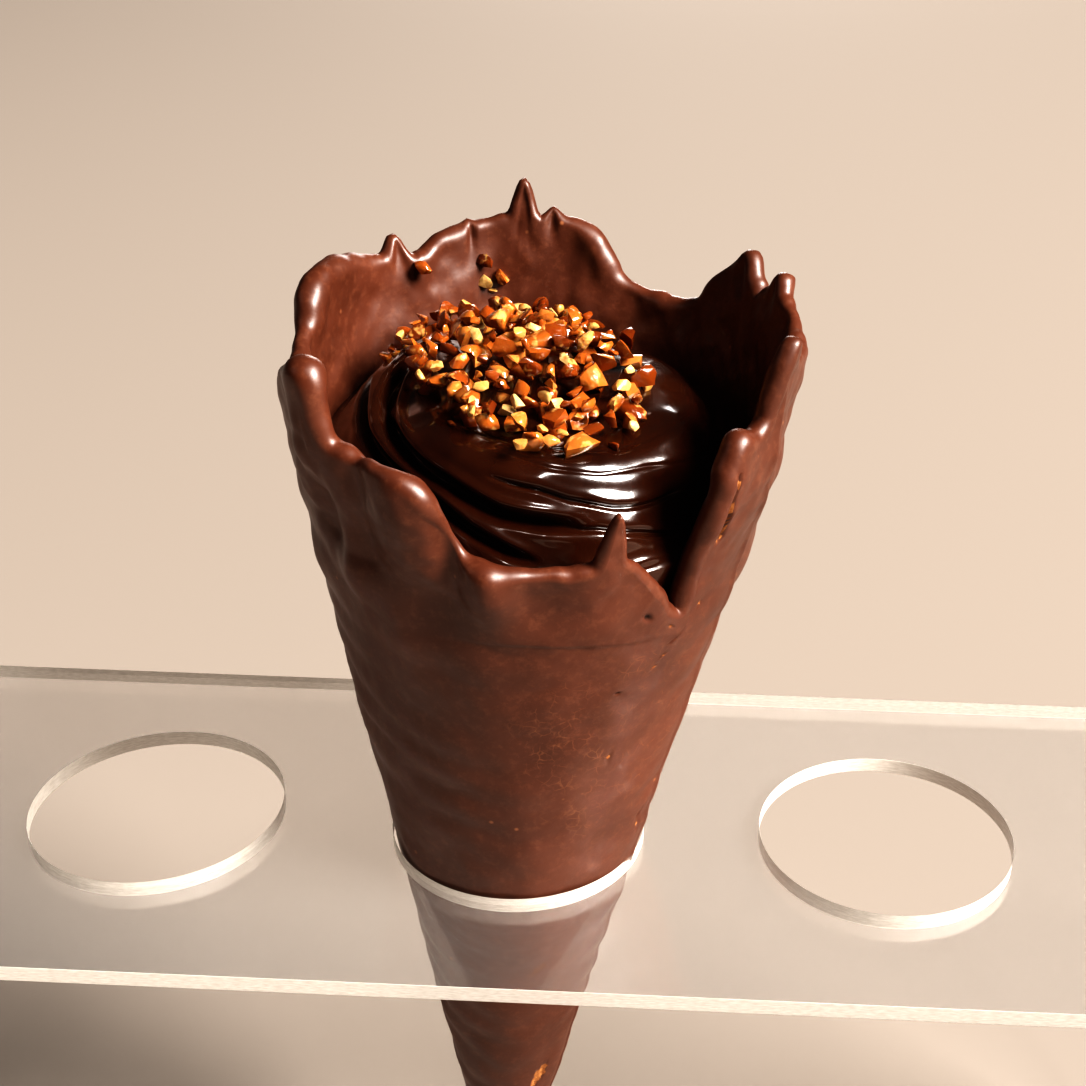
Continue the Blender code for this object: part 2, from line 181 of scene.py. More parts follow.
def make_stand():
    """The bent strip, drilled, with clear faces and matt sawn edges."""
    outer, inner = bent_strip()
    shape = bmesh.new()
    section = [shape.verts.new((x, stand_low.y, z)) for x, z in outer + inner[::-1]]
    face = shape.faces.new(section)
    pulled = bmesh.ops.extrude_face_region(shape, geom=[face])
    moved = [item for item in pulled["geom"] if isinstance(item, bmesh.types.BMVert)]
    bmesh.ops.translate(shape, verts=moved, vec=(0, stand_high.y - stand_low.y, 0))
    bmesh.ops.recalc_face_normals(shape, faces=shape.faces)
    mesh = bpy.data.meshes.new("acrylic_sheet")
    shape.to_mesh(mesh)
    shape.free()
    stand = put_in_scene("acrylic_sheet", mesh)
    for x in hole_places:
        bpy.ops.mesh.primitive_cylinder_add(vertices=hole_sides, radius=hole_radius, depth=5 * sheet,
                                            location=(x, 0, stand_high.z - sheet / 2))
        drill = bpy.context.object
        cut = stand.modifiers.new("hole", "BOOLEAN")
        cut.operation, cut.object = "DIFFERENCE", drill
        bpy.context.view_layer.update()
        drilled = stand.evaluated_get(bpy.context.evaluated_depsgraph_get())
        bored = bpy.data.meshes.new_from_object(drilled)
        stand.modifiers.clear()
        stand.data = bored
        bpy.data.objects.remove(drill, do_unlink=True)
    stand.data.materials.clear()
    stand.data.materials.append(clear_acrylic())
    stand.data.materials.append(sawn_edge())
    for polygon in stand.data.polygons:
        from_hole = min(math.hypot(polygon.center.x - x, polygon.center.y) for x in hole_places)
        hole_wall = abs(polygon.normal.z) < 0.3 and from_hole < hole_radius * 1.02
        long_edge = abs(polygon.normal.y) > 0.9
        under_leg = polygon.center.z < 0.5 * mm
        polygon.material_index = 1 if hole_wall or long_edge or under_leg else 0
    soften = stand.modifiers.new("softened_edges", "BEVEL")
    soften.width, soften.segments, soften.limit_method = edge_softening, 2, "ANGLE"
    soften.angle_limit = math.radians(50)
    soften.harden_normals = True
    stand.data.shade_smooth()
    stand.data.set_sharp_from_angle(angle=math.radians(30))
    return stand


acrylic_sheet = make_stand()
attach(acrylic_sheet, "root")
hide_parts("acrylic_stand")


# ---- The dipped wafer cone --------------------------------------------------
# A wafer sheet rolled into a cone, with the waffle iron's low ridges round it and the sheet's edge as a
# seam, dipped in dark chocolate that set in lobes, fingers and thin horns round the mouth. It hangs by its
# own taper in the stand's middle hole and leans a little to the right.

flare = math.tan(math.radians(11.9))
lean = math.radians(2.75)
point_depth = 71.4 * mm  # below the plate's top face
tip_radius = 2.2 * mm
wall = 2.7 * mm
mouth_radius = 27 * mm
# Along the axis from the point:
taper_start = 13.5 * mm
hollow_floor, hollow_start = 19 * mm, 24 * mm
collar = 98 * mm  # where the crown's columns start to spread

# The crown's edge as (angle, height above the plate), anticlockwise from the right.
crown = (
    (4, 65.4), (11, 66.2), (16, 67.0), (22, 67.0), (27.5, 65.4), (31, 66.8), (37, 67.6), (43, 65.6),
    (47, 62.8), (51, 61.2), (60, 60.5), (73, 62.0), (82, 67.0), (92, 68.3), (107, 67.6), (119, 66.5),
    (128, 64.6), (142, 64.8), (156, 65.4), (166, 64.6), (173, 61.2), (185, 60.0), (197, 60.4),
    (207, 62.2), (215, 63.8), (220.5, 64.9), (222.6, 63.6), (224.0, 60.2), (226.6, 57.9), (232, 57.3),
    (238, 57.3), (244, 57.6), (248, 57.1), (251.6, 55.7), (255, 53.2), (259, 50.2), (263, 49.0),
    (267, 48.3), (273, 48.1), (281, 48.1), (290, 48.4), (297, 48.4), (301, 47.2), (304.5, 45.7),
    (308, 44.0), (311, 42.2), (314.5, 41.0), (317.6, 41.4), (318.8, 43.4), (319.2, 47.0), (319.5, 51.5),
    (319.8, 55.0), (320.3, 56.9), (321.2, 57.9), (322.2, 59.4), (323.8, 60.5), (327.0, 60.1), (330.5, 60.2),
    (333.6, 61.4), (335.4, 64.0), (337.0, 66.6), (339.0, 67.8), (342.2, 67.0), (346.5, 65.2), (354, 64.8))
# Thin horns of set chocolate on it: (angle, rise in mm, half width as an angle).
horns = ((18.8, 1.9, 1.5), (34.5, 1.5, 1.9), (92, 1.1, 1.3), (99.5, 4.4, 1.4), (113, 0.5, 0.9),
         (134, 2.4, 1.6), (293.2, 6.6, 1.25), (338.6, 0.9, 1.5))
# Where the wall is thinner at its edge: (angle, spread as an angle, share, how square its sides are).
thinner = ((8, 32, 0.22, 2), (281, 20, 0.30, 4))
# Bulges of the wall: (angle, height above the plate, spread as an angle, spread in mm, push in mm).
bulges = (
    (247, 53, 8, 5.0, 1.3), (265, 46, 7, 4.0, 0.9), (220, 57, 6, 5.0, 1.1), (188, 61, 16, 4.5, -1.4),
    (195, 50, 26, 8.0, -0.3), (160, 64.5, 20, 5.0, -0.5), (128, 58, 7, 8.0, -0.9), (145, 58, 8, 8.0, 0.9),
    (108, 60, 7, 8.0, 0.8), (320, 55, 6, 4.5, 0.6), (348, 46, 48, 18.0, 0.6), (0, 60.5, 18, 3.0, 0.25),
    (4, 66, 18, 4.5, -0.2))
horn_taper = 0.35  # how much thinner a horn's tip is than the wall
curl = 1.3 * mm  # how far the crown's top leans in
curl_range = (50, 68)
lip_swell = 0.28 * mm
lip_depth = 4.5 * mm
spread_done = 39.5  # above the plate: where the crown's columns have spread
columns = 560
outer_rows, inner_rows, low_rows, hollow_rows, bead_steps = 108, 70, 96, 14, 12


def along(height):
    """Metres from the cone's point, along its axis, of a height above the plate in millimetres."""
    return point_depth + height * mm


def all_round(count):
    """Evenly spaced angles in degrees."""
    return 360 * np.arange(count) / count


def turn_between(a, b):
    """The signed angle in degrees from b to a, the short way."""
    return (a - b + 180) % 360 - 180


def close_to(angle, at, wide, power=2):
    """1 at an angle, falling smoothly to 0 either side of it."""
    return np.exp(-(turn_between(angle, at) / wide) ** power)


def patch(angle, level, at, height, wide, tall):
    """1 at a place on the wall, falling smoothly to 0 round it."""
    rise = (level - along(height)) / (tall * mm)
    return np.exp(-(turn_between(angle, at) / wide) ** 2 - rise ** 2)


def soft_step(value, start, end):
    """0 before start, 1 after end, and smooth between."""
    part = np.clip((value - start) / (end - start), 0, 1)
    return part * part * (3 - 2 * part)


def uneven(points, size, seed):
    """A smooth uneven field over points, from about -1 to 1, with lumps of about the given size."""
    draw = np.random.default_rng(seed)
    total = np.zeros(points.shape[:-1])
    for _ in range(20):
        way = draw.normal(size=3)
        way *= 2 * math.pi / size * draw.uniform(0.6, 1.4) / np.linalg.norm(way)
        total += np.cos(points @ way + draw.uniform(0, 2 * math.pi))
    return total / 4.5


def around(angle, radius, level):
    """Points at angles in degrees, distances from the axis and distances from the cone's point."""
    turn = np.radians(angle)
    return np.stack(np.broadcast_arrays(radius * np.cos(turn), radius * np.sin(turn), level), axis=-1)


def through_crown(steps):
    """The crown's stations joined by a smooth closed line: angles, and heights above the plate."""
    stations = np.array(crown, float)
    line = []
    for i in range(len(stations)):
        points = []
        for k in (-1, 0, 1, 2):
            lap, index = divmod(i + k, len(stations))
            points.append(stations[index] + (360 * lap, 0))
        p0, p1, p2, p3 = points
        for t in np.arange(steps) / steps:
            line.append(0.5 * (2 * p1 + (p2 - p0) * t + (2 * p0 - 5 * p1 + 4 * p2 - p3) * t ** 2
                               + (3 * p1 - 3 * p2 + p3 - p0) * t ** 3))
    line.append(line[0] + (360, 0))
    return np.array(line)


def horn_parts(angle):
    """At each angle, the horns' rise in millimetres, and how far up a horn it is, from 0 to 1."""
    rise, part = np.zeros_like(angle), np.zeros_like(angle)
    for at, height, half in horns:
        here = close_to(angle, at, half)
        foot = close_to(angle, at, 2.6 * half)
        rise = np.where(here > part, height * (0.82 * here + 0.18 * foot), rise)
        part = np.maximum(part, here)
    return rise, part


def crown_edge():
    """The crown's edge in steps along its length: angles, distances from the point with the horns, wall
    thickness, distances without the horns, and how far up a horn it is."""
    line = through_crown(60)
    angle = line[:, 0]
    level = along(line[:, 1])
    ring = around(angle, mouth_radius, level)
    level += 0.14 * mm * uneven(ring, 7 * mm, 3) + 0.07 * mm * uneven(ring, 2.4 * mm, 4)
    level[-1] = level[0]
    rise = horn_parts(angle)[0] * mm
    run = np.hypot(np.radians(np.diff(angle)) * level[1:] * flare, 0.6 * np.diff(level + rise))
    length = np.concatenate(([0], np.cumsum(run)))
    where = np.linspace(0, length[-1], columns + 1)[:-1]
    angle, level = np.interp(where, length, angle), np.interp(where, length, level)
    rise, horn = horn_parts(angle)
    thick = wall
    for at, wide, share, power in thinner:
        thick = thick * (1 - share * close_to(angle, at, wide, power))
    thick *= 1 + 0.16 * uneven(around(angle, mouth_radius, level), 9 * mm, 5)
    return angle, level + rise * mm, thick, level, horn


def wall_push(angle, level):
    """How far the whole wall is pushed out from the straight cone."""
    up = (level - along(curl_range[0])) / (mm * (curl_range[1] - curl_range[0]))
    push = -curl * np.clip(up, 0, 1.2) ** 2
    for at, height, wide, tall, amount in bulges:
        push = push + amount * mm * patch(angle, level, at, height, wide, tall)
    return push


def wall_at(angle, level, depth):
    """Distances from the axis of what lies at a depth under the wall's outer face."""
    return flare * level + wall_push(angle, level) - depth


# Lobes and hollows of the outer face alone, where the chocolate ran and set: as the bulges above.
lobes = (
    (248, 53.5, 6, 4.5, 0.7), (235, 55.5, 4, 5.0, -1.1), (257, 50.0, 3.5, 5.0, -1.1),
    (266, 45.5, 5, 4.0, 0.8), (221, 58.0, 4, 4.0, 0.7), (229, 44.0, 5, 4.0, 0.8), (241, 38.0, 6, 3.5, 0.6),
    (213, 50.0, 5, 4.0, 0.7), (222, 49.0, 3.5, 4.0, -0.7), (252, 41.5, 6, 3.0, -0.6),
    (205, 40.0, 6, 4.0, 0.6), (276, 45.0, 4, 3.0, -0.25), (236, 47.5, 5, 3.0, -0.7),
    (260, 36.5, 7, 3.0, 0.3))
# The waffle iron's ridges under the chocolate: they dip towards the front, and fade where it is smooth.
ridge_pitch = 5.6 * mm
ridge_height = 0.55 * mm
ridge_dip = 9 * mm
ridge_low_angle = 275
smooth_angle, smooth_spread, smoothing = 302, 46, 0.88
seam_angle = 337
seam_step = 0.45 * mm
welt_height = 0.16 * mm  # along the seam, where chocolate gathered
second_dip, second_coat = 38.0, 0.15 * mm
run_height = 0.34 * mm  # of the runs and lumps on the upper half


def outer_relief(angle, level, to_edge):
    """The relief of the outer face: waffle ridges, the seam, the second dip's line, lobes and lumps."""
    where = around(angle, flare * level, level)
    phase = (level + ridge_dip * np.cos(np.radians(angle - ridge_low_angle))) / ridge_pitch
    waves = np.abs(np.sin(math.pi * (phase + 0.16 * uneven(where, 14 * mm, 7)))) ** 1.3 - 0.5
    calm = 1 - smoothing * close_to(angle, smooth_angle, smooth_spread)
    fade = soft_step(to_edge, 3 * mm, 9 * mm) * (0.6 + 0.4 * uneven(where, 20 * mm, 8))
    relief = ridge_height * waves * calm * fade
    from_seam = turn_between(angle, seam_angle + 1.2 * uneven(where, 25 * mm, 9))
    ledge = seam_step * (1 - soft_step(from_seam, -0.7, 1.6)) * soft_step(from_seam, -30, -3)
    welt = welt_height * np.exp(-((from_seam + 1.2) / 1.3) ** 2)
    relief += (ledge + welt) * soft_step(to_edge, 0.5 * mm, 6 * mm)
    dip_line = along(second_dip + 0.8 * np.sin(np.radians(angle * 3)))
    relief += second_coat * soft_step(level - dip_line, -0.2 * mm, 0.2 * mm) * close_to(angle, 280, 30)
    upper = soft_step(level, along(33), along(44)) * (1 - 0.5 * close_to(angle, 312, 30))
    relief += run_height * upper * uneven(where, 11 * mm, 16)
    for at, height, wide, tall, amount in lobes:
        relief = relief + amount * mm * patch(angle, level, at, height, wide, tall)
    relief += 0.09 * mm * uneven(where, 8 * mm, 10) + 0.03 * mm * uneven(where, 3.2 * mm, 11)
    return relief


def inner_relief(angle, level, to_edge):
    """Soft upright folds and runs on the inner face."""
    where = around(angle, flare * level, level)
    folds = uneven(where * (1, 1, 0.7), 9 * mm, 13)
    at_back = 0.16 + 0.24 * close_to(angle, 122, 28)
    relief = at_back * mm * folds * soft_step(to_edge, 0.5 * mm, 5 * mm)
    return relief + 0.05 * mm * uneven(where, 3.5 * mm, 14)


# Beads of chocolate on the tips and along the lip: (angle, height above the plate, radius and swell in mm).
beads = (
    (34.5, 68.0, 1.5, 0.55), (18.8, 68.2, 1.3, 0.50), (338.6, 67.9, 1.0, 0.12), (220.8, 64.0, 2.2, 0.60),
    (213.0, 63.4, 1.8, 0.35), (156, 64.8, 2.4, 0.55), (163, 64.4, 1.8, 0.35), (99.5, 71.4, 1.2, 0.25),
    (134, 66.4, 1.4, 0.30), (293.0, 53.6, 1.0, 0.12), (324.0, 59.6, 1.8, 0.35), (325.0, 57.0, 2.4, 0.30),
    (320.0, 56.2, 1.6, 0.45), (319.6, 51.5, 1.6, 0.30), (320.2, 46.5, 1.8, 0.20), (233, 59.0, 2.4, 0.30),
    (252, 55.2, 2.6, 0.35), (60, 60.2, 3.0, 0.25), (301, 47.6, 1.6, 0.20), (281, 47.8, 3.0, 0.15),
    (318.5, 42.0, 1.6, 0.35))
# The crack in the lip beside the notch, open at its foot: (angle, height above the plate, half width).
crack = ((320.9, 56.8, 0.08), (320.4, 54.6, 0.12), (320.4, 52.2, 0.18), (321.2, 50.2, 0.30),
         (321.6, 48.8, 0.26))
crack_middle = 321
crack_depth, chip_depth, pit_depth = 0.9 * mm, 0.22 * mm, 0.45 * mm
# Places where the chocolate is chipped off the wafer, and small holes in it: (angle, height, radius in mm).
chips = ((312.9, -36.0, 0.55), (309.5, -37.0, 0.8), (305.8, -38.7, 0.6), (322.8, 40.3, 0.30),
         (313.5, 38.9, 0.20), (314.0, 34.8, 0.2), (312, 33.4, 0.2), (328, 8.6, 0.3), (329, 7.2, 0.3),
         (304, 21.5, 0.35))
pits = ((305.1, 41.0, 0.38), (315.6, 36.6, 0.18), (301.5, 31.0, 0.15), (327.8, 8.4, 0.4))
# Patches of fine cracks in the coating: (angle, height, spread as an angle, spread in mm).
crazing = ((308, 33, 11, 7), (300, 18, 16, 9), (322, 22, 8, 14), (285, 26, 12, 8))


def unrolled(angle, level, middle):
    """Millimetres along the outer face from the angle in the middle, and up it."""
    aside = np.radians(turn_between(angle, middle)) * flare * level / mm
    return np.stack((aside, level / mm + 0 * angle), axis=-1)


def from_crack(angle, level):
    """How far each point is from the crack, as a share of its half width there."""
    angles, heights, widths = np.array(crack).T
    flat = unrolled(angle, level, crack_middle)
    ends = unrolled(angles, along(heights), crack_middle)
    nearest = np.full(angle.shape, np.inf)
    for start, end, w0, w1 in zip(ends, ends[1:], widths, widths[1:]):
        run = end - start
        part = np.clip((flat - start) @ run / (run @ run), 0, 1)
        gap = np.linalg.norm(flat - start - part[..., None] * run, axis=-1)
        nearest = np.minimum(nearest, gap / (w0 + (w1 - w0) * part))
    return nearest


def from_spot(angle, level, at, height):
    """Millimetres along the outer face from a place on it."""
    spot = unrolled(np.array(at), np.array(along(height)), at)
    return np.linalg.norm(unrolled(angle, level, at) - spot, axis=-1)


def normals_of(grid):
    """The outward normal at each point of a closed grid of rings."""
    up = np.gradient(grid, axis=0)
    across = np.roll(grid, -1, axis=1) - np.roll(grid, 1, axis=1)
    normal = np.cross(across, up)
    return normal / np.maximum(np.linalg.norm(normal, axis=-1, keepdims=True), 1e-12)


def finish_crown(grid):
    """Beads, small lumps, the crack, chips and pits, each along the surface's normal; and at each point how
    far wafer shows, painted shade darkens a hole, and the coat is crazed."""
    angle, level = np.degrees(np.arctan2(grid[..., 1], grid[..., 0])), grid[..., 2]
    outside = np.hypot(grid[..., 0], grid[..., 1]) > wall_at(angle, level, wall / 2)
    push = 0.05 * mm * uneven(grid, 2.6 * mm, 17) * soft_step(level, along(40), along(48))
    for at, height, radius, swell in beads:
        spot = around(np.array(at), wall_at(at, along(height), wall / 2), along(height))
        push += swell * mm * np.exp(-(np.linalg.norm(grid - spot, axis=-1) / (radius * mm)) ** 2)
    near = from_crack(angle, level)
    push -= crack_depth * np.exp(-near ** 2) * outside
    shows = (1.0 - 1.5 * np.abs(near - 1.25)) * outside
    # Painted shade: the crack's open middle and the pits are darkened in colour.
    hole = (1 - soft_step(near, 0.7, 1.1)) * outside
    for at, height, radius in chips:
        near = from_spot(angle, level, at, height) / radius
        push -= chip_depth * (1 - soft_step(near, 0.7, 1.2)) * outside
        shows = np.maximum(shows, (1 - near / 2) * outside)
    for at, height, radius in pits:
        near = from_spot(angle, level, at, height) / radius
        push -= pit_depth * np.exp(-near ** 2) * outside
        hole = np.maximum(hole, (1 - soft_step(near, 0.5, 1.0)) * outside)
    crazed = np.zeros(angle.shape)
    for at, height, wide, tall in crazing:
        crazed = np.maximum(crazed, patch(angle, level, at, height, wide, tall) * outside)
    return grid + normals_of(grid) * push[..., None], np.clip(shows, 0, 1), hole, crazed


def crown_rings(edge, rows, side):
    """Rings of the outer (side 0) or inner (side 1) face from the collar to the crown's bead."""
    angle, level, thick, base, horn = edge
    start = all_round(columns)
    rings = []
    for row in range(rows + 1):
        part = row / rows
        top = level - thick * (1 - horn_taper * horn) / 2
        up = collar + (top - collar) * part
        here = start + turn_between(angle, start) * soft_step(up, collar, along(spread_done))
        to_lip = np.maximum(base - thick / 2 - up, 0)
        swell = lip_swell * np.exp(-(to_lip / lip_depth) ** 2) * thick / wall
        out = wall_push(here, up) + swell
        out = out + (inner_relief if side else outer_relief)(here, up, to_lip)
        depth = wall + (thick - wall) * soft_step(part, 0.86, 1.0)
        depth = depth * (1 - horn_taper * horn * soft_step(up, base - 4 * mm, top))
        rings.append(around(here, flare * up + out - side * depth, up))
    return rings


def bead_rings(outer, inner, steps):
    """The rounded edge over the wall, square to the edge's own run."""
    across = outer - inner
    run = np.roll(outer, -2, axis=0) - np.roll(outer, 2, axis=0)
    rise = np.cross(across, run)
    rise /= np.linalg.norm(rise, axis=1, keepdims=True)
    for _ in range(10):
        rise = (np.roll(rise, 1, axis=0) + 2 * rise + np.roll(rise, -1, axis=0)) / 4
    reach = np.linalg.norm(across, axis=1, keepdims=True) / 2
    rings = []
    for step in range(1, steps):
        turn = math.pi * step / steps
        rings.append((outer + inner) / 2 + across / 2 * math.cos(turn) + rise * reach * math.sin(turn))
    return rings


def plain_rings(levels, out, relief=None):
    """Rings of the straight cone below the collar."""
    angle = all_round(columns)
    rings = []
    for level in levels:
        push = out + wall_push(angle, level)
        if relief is not None:
            push = push + relief(angle, level + 0 * angle, 60 * mm)
        rings.append(around(angle, flare * level + push, level))
    return rings


def tip_rings():
    """The rounded tip, from the lowest ring up."""
    slope = math.atan(flare)
    centre = tip_radius / math.sin(slope)
    angle = all_round(columns)
    turns = (math.pi / 2 - slope) * np.arange(1, 9) / 9
    return [around(angle, tip_radius * math.sin(turn), centre - tip_radius * math.cos(turn))
            for turn in turns]


def skin(name, grid):
    """One closed mesh through a grid of rings, capped at both ends."""
    rings, count = grid.shape[:2]
    points = np.concatenate((grid.reshape(-1, 3), grid[0].mean(0)[None], grid[-1].mean(0)[None]))
    here = np.arange(count)
    there = (here + 1) % count
    quads = []
    for row in range(rings - 1):
        low, high = row * count, (row + 1) * count
        quads.append(np.stack((low + here, low + there, high + there, high + here), axis=1))
    first, last, top = len(points) - 2, len(points) - 1, (rings - 1) * count
    caps = [(first, int(b), int(a)) for a, b in zip(here, there)]
    caps += [(last, int(top + a), int(top + b)) for a, b in zip(here, there)]
    mesh = bpy.data.meshes.new(name)
    mesh.from_pydata(points.tolist(), [], np.concatenate(quads).tolist() + caps)
    mesh.shade_smooth()
    return put_in_scene(name, mesh)


def mark_points(made, name, values):
    """A number on every point of a grid's mesh, for its finish to read; 0 in the caps."""
    layer = made.data.attributes.new(name, "FLOAT", "POINT")
    layer.data.foreach_set("value", np.concatenate((values.ravel(), (0, 0))).astype(np.float32))


# The cone's own axis: leaning, with the point under the hole.
point_aside = -point_depth * math.tan(lean) * (1 + flare ** 2)
cone_place = Matrix.Translation((point_aside, 0, stand_high.z - point_depth))
cone_place = cone_place @ Matrix.Rotation(lean, 4, "Y")


def marked(tree, name):
    """The number that mark_points or join_chunks put on each point."""
    return add_node(tree, "ShaderNodeAttribute", attribute_name=name).outputs["Fac"]


# The coat's browns, its bloom and specks, painted shade for the crack and the pits, and the wafer under a
# chip.
coat_browns = ((0.32, (0.091, 0.0284, 0.0136)), (0.5, (0.111, 0.0346, 0.0168)),
               (0.68, (0.136, 0.0435, 0.0220)))
bloom, tan_speck, painted_pit_shade = (0.24, 0.095, 0.05), (0.38, 0.165, 0.075), (0.02, 0.005, 0.003)
wafer_browns = ((0.35, (0.26, 0.09, 0.025)), (0.6, (0.46, 0.21, 0.07)), (0.75, (0.62, 0.38, 0.17)))
wafer_rough = (0.85, 0.85, 0.85)


def fine_cracks(tree, where):
    """Broken hair cracks in the coat, from 0 to 1, in the crazed patches alone."""
    swirled = add_node(tree, "ShaderNodeTexNoise", {"Vector": where}, scale=400.0, detail=3.0)
    bent = blend_colours(tree, 0.0015, where, swirled.outputs["Color"])
    edges = add_node(tree, "ShaderNodeTexVoronoi", {"Vector": bent},
                     feature="DISTANCE_TO_EDGE", scale=760.0)
    cracks = ramp(tree, edges.outputs["Distance"], ((0.02, 1.0), (0.06, 0.0)))
    broken = ramp(tree, blotches(tree, where, 420, 4.0, 0.65), ((0.50, 0.0), (0.66, 0.42)))
    cracks = blend_colours(tree, 1.0, cracks, broken, "MULTIPLY")
    return blend_colours(tree, 1.0, cracks, marked(tree, "crazed"), "MULTIPLY")


def set_chocolate():
    """Dark couverture, satin, a little bloomed, with tan specks, patches of fine cracks, and the wafer bare
    where it is chipped; painted shade darkens the crack and the pits."""
    made, tree, shader = new_finish("dipping_chocolate")
    where = places(tree)
    broad = blotches(tree, where, 55, 5.0, 0.6)
    fine = blotches(tree, where, 1000, 6.0, 0.7)
    bloomed = ramp(tree, fine, ((0.50, 0.0), (0.70, 0.34)))
    mottled = blend_colours(tree, bloomed, ramp(tree, broad, coat_browns), bloom)
    cells = add_node(tree, "ShaderNodeTexVoronoi", {"Vector": where}, scale=300.0)
    chosen = ramp(tree, cells.outputs["Color"], ((0.60, 0.0), (0.66, 0.8)))
    close = ramp(tree, cells.outputs["Distance"], ((0.04, 1.0), (0.10, 0.0)))
    speck = blend_colours(tree, 1.0, chosen, close, "MULTIPLY")
    speck = blend_colours(tree, 1.0, speck, fine_cracks(tree, where), "ADD")
    specked = blend_colours(tree, speck, mottled, tan_speck)
    ragged = add_node(tree, "ShaderNodeMath",
                      {0: marked(tree, "wafer_shows"), 1: blotches(tree, where, 1100, 4.0, 0.7)},
                      operation="ADD")
    bare = ramp(tree, ragged.outputs[0], ((0.96, 0.0), (1.0, 1.0)))
    crumb = ramp(tree, blotches(tree, where, 1800, 4.0, 0.7), wafer_browns)
    chipped = blend_colours(tree, bare, specked, crumb)
    satin = ramp(tree, blotches(tree, where, 120, 4.0), ((0.3, 0.36), (0.7, 0.48)))
    waxy = raise_surface(tree, blotches(tree, where, 260, 3.0, 0.5), 0.22, 0.4 * mm)
    waxy = raise_surface(tree, fine, 0.10, 0.2 * mm, waxy)
    waxy = raise_surface(tree, speck, -0.4, 0.2 * mm, waxy)
    # Painted shade: the base colour is darkened inside the crack and the pits.
    set_inputs(shader, {"Base Color": blend_colours(tree, marked(tree, "painted_hole_shade"), chipped, painted_pit_shade),
                        "Roughness": blend_colours(tree, bare, satin, wafer_rough),
                        "Normal": raise_surface(tree, bare, -0.8, 0.3 * mm, waxy),
                        "IOR": 1.47, "Specular IOR Level": 0.75})
    return made


def make_shell():
    """The whole shell as one skin: up the outside from the tip, over the edge and down the inside."""
    edge = crown_edge()
    outer = crown_rings(edge, outer_rows, side=0)
    inner = crown_rings(edge, inner_rows, side=1)
    low = plain_rings(np.linspace(taper_start, collar, low_rows)[:-1], 0.0, outer_relief)
    bead = bead_rings(outer[-1], inner[-1], bead_steps)
    hollow = plain_rings(np.linspace(collar, hollow_start, hollow_rows)[1:], -wall)
    floor = plain_rings([hollow_floor], -wall - 0.4 * mm)
    rings = tip_rings() + low + outer + bead + inner[::-1] + hollow + floor
    grid, shows, holes, crazed = finish_crown(np.array(rings))
    shell = skin("chocolate_shell", grid)
    mark_points(shell, "wafer_shows", shows)
    # Marks where painted shade darkens the crack and the pits.
    mark_points(shell, "painted_hole_shade", holes)
    mark_points(shell, "crazed", crazed)
    shell.data.transform(cone_place)
    shell.data.materials.append(set_chocolate())
    return shell


chocolate_shell = make_shell()
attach(chocolate_shell, "root")
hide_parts("cone_shell")


# ---- The brigadeiro filling -------------------------------------------------
# Soft dark brigadeiro piped in level rounds, which sank into one another in folds that crowd together at
# the left and open out at the front. It fills the cone below and wets the wall all round.

# The piped ridges, from the middle outwards: radii, then heights above the plate, at the right, back, left
# and front.
ridges = (
    ((12.8, 11.0, 10.6, 11.6), (56.8, 58.6, 57.4, 56.6)),
    ((17.2, 16.2, 14.8, 16.0), (55.8, 57.8, 56.4, 56.0)),
    ((19.0, 18.0, 15.6, 17.5), (53.6, 57.0, 56.6, 54.8)),
    ((20.2, 19.6, 16.6, 19.0), (51.0, 56.4, 56.6, 51.7)),
    ((20.9, 21.0, 18.2, 20.0), (49.0, 55.6, 55.6, 49.8)),
    ((21.4, 22.0, 20.6, 21.0), (47.2, 54.4, 53.2, 47.4)))
wall_line = (46.0, 53.2, 50.4, 45.4)
peak = 58.4
swirl_columns, ridge_steps = 480, 22
# How far the filling reaches into the wall at the top, so that no gap shows, and stays clear of it below.
wetting, most_wetting, clear_below = 0.25 * mm, 0.3 * mm, 0.3 * mm
body_top, body_foot, body_rings = 112 * mm, 22 * mm, 8
# The creases where one round tucks under the next: where each runs, as (angle, ridges out from the middle)
# from end to end; how far its ends taper as an angle; its depth, half width and the swell above it in mm.
creases = (
    (((205, 1.2), (227, 1.3), (260, 1.4), (277, 1.7), (318, 1.75), (354, 2.0), (430, 2.3)),
     25, 0.10, 0.18, 0.04),
    (((250, 1.6), (262, 1.8), (281, 2.5), (297, 2.8), (315, 2.85), (340, 3.25), (400, 3.7)),
     20, 0.08, 0.22, 0.05),
    (((150, 2.7), (193, 3.0), (213, 3.5), (227, 3.75), (247, 3.95), (266, 4.4), (292, 4.5)),
     14, 1.9, 0.60, 0.45),
    (((150, 5.3), (187, 5.0), (203, 4.95), (217, 4.8), (233, 4.75), (247, 5.0), (258, 5.5), (280, 6.3)),
     14, 1.6, 0.50, 0.40),
    (((258, 3.1), (277, 3.4), (286, 3.65), (300, 3.8), (330, 3.8)), 14, 0.6, 0.22, 0.15),
    (((280, 4.5), (295, 4.6), (307, 5.0), (326, 5.8)), 10, 0.5, 0.30, 0.15))


def round_the_cone(values, angle):
    """A value that runs smoothly through its four at the right, back, left and front."""
    right, back, left, front = values
    turn = np.radians(angle)
    return ((right + back + left + front) / 4 + (right - left) / 2 * np.cos(turn)
            + (back - front) / 2 * np.sin(turn) + (right + left - back - front) / 4 * np.cos(2 * turn))


